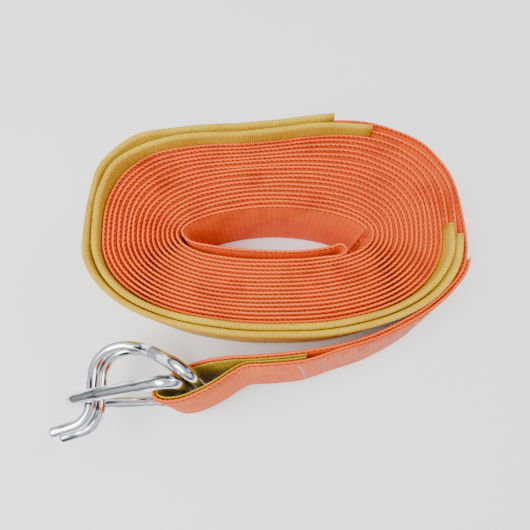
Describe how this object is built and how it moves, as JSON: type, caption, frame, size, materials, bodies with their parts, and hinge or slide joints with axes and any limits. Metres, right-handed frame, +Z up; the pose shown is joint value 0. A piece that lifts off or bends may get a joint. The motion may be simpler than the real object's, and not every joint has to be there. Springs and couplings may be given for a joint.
{
  "type": "hooked end length of a ratchet strap, rolled up, with no ratchet",
  "caption": "Flat woven load strap rolled up on its edge, with wear sleeves and a sewn eye that holds a wire hook and a triangle ring for lashing loads.",
  "frame": {"origin": "on the floor under the middle of the whole", "axes": "+Z up along the webbing's width, +X along the roll's long side away from the hook, +Y from the hook and tail side towards the roll's far side"},
  "size_m": [0.2332, 0.1876, 0.0716],
  "materials": {
    "webbing": "woven orange polyester",
    "yellow_sleeve": "flat woven yellow tube with fine cross ribs",
    "yellow_liner": "flat woven yellow strip",
    "zinc_ring": "bright zinc plate",
    "zinc_hook": "bright zinc plate"
  },
  "bodies": {
    "strap": {"webbing_strap": "webbing", "inner_wear_sleeve": "yellow_sleeve", "outer_wear_sleeve": "yellow_sleeve", "eye_liner": "yellow_liner"},
    "ring": {"triangle_ring": "zinc_ring"},
    "hook": {"double_j_hook": "zinc_hook"}
  },
  "joints": [
    {"name": "hardware_swing", "type": "hinge", "parent": "strap", "child": "ring", "pos_m": [-0.0454, -0.06712, 0.03754], "axis": [0, 0.2419, 0.9703], "range_deg": [-12, 9]},
    {"name": "hook_play", "type": "hinge", "parent": "ring", "child": "hook", "pos_m": [-0.0379, -0.06488, 0.03698], "axis": [0, 0.2419, 0.9703], "range_deg": [-4, 8]}
  ]
}
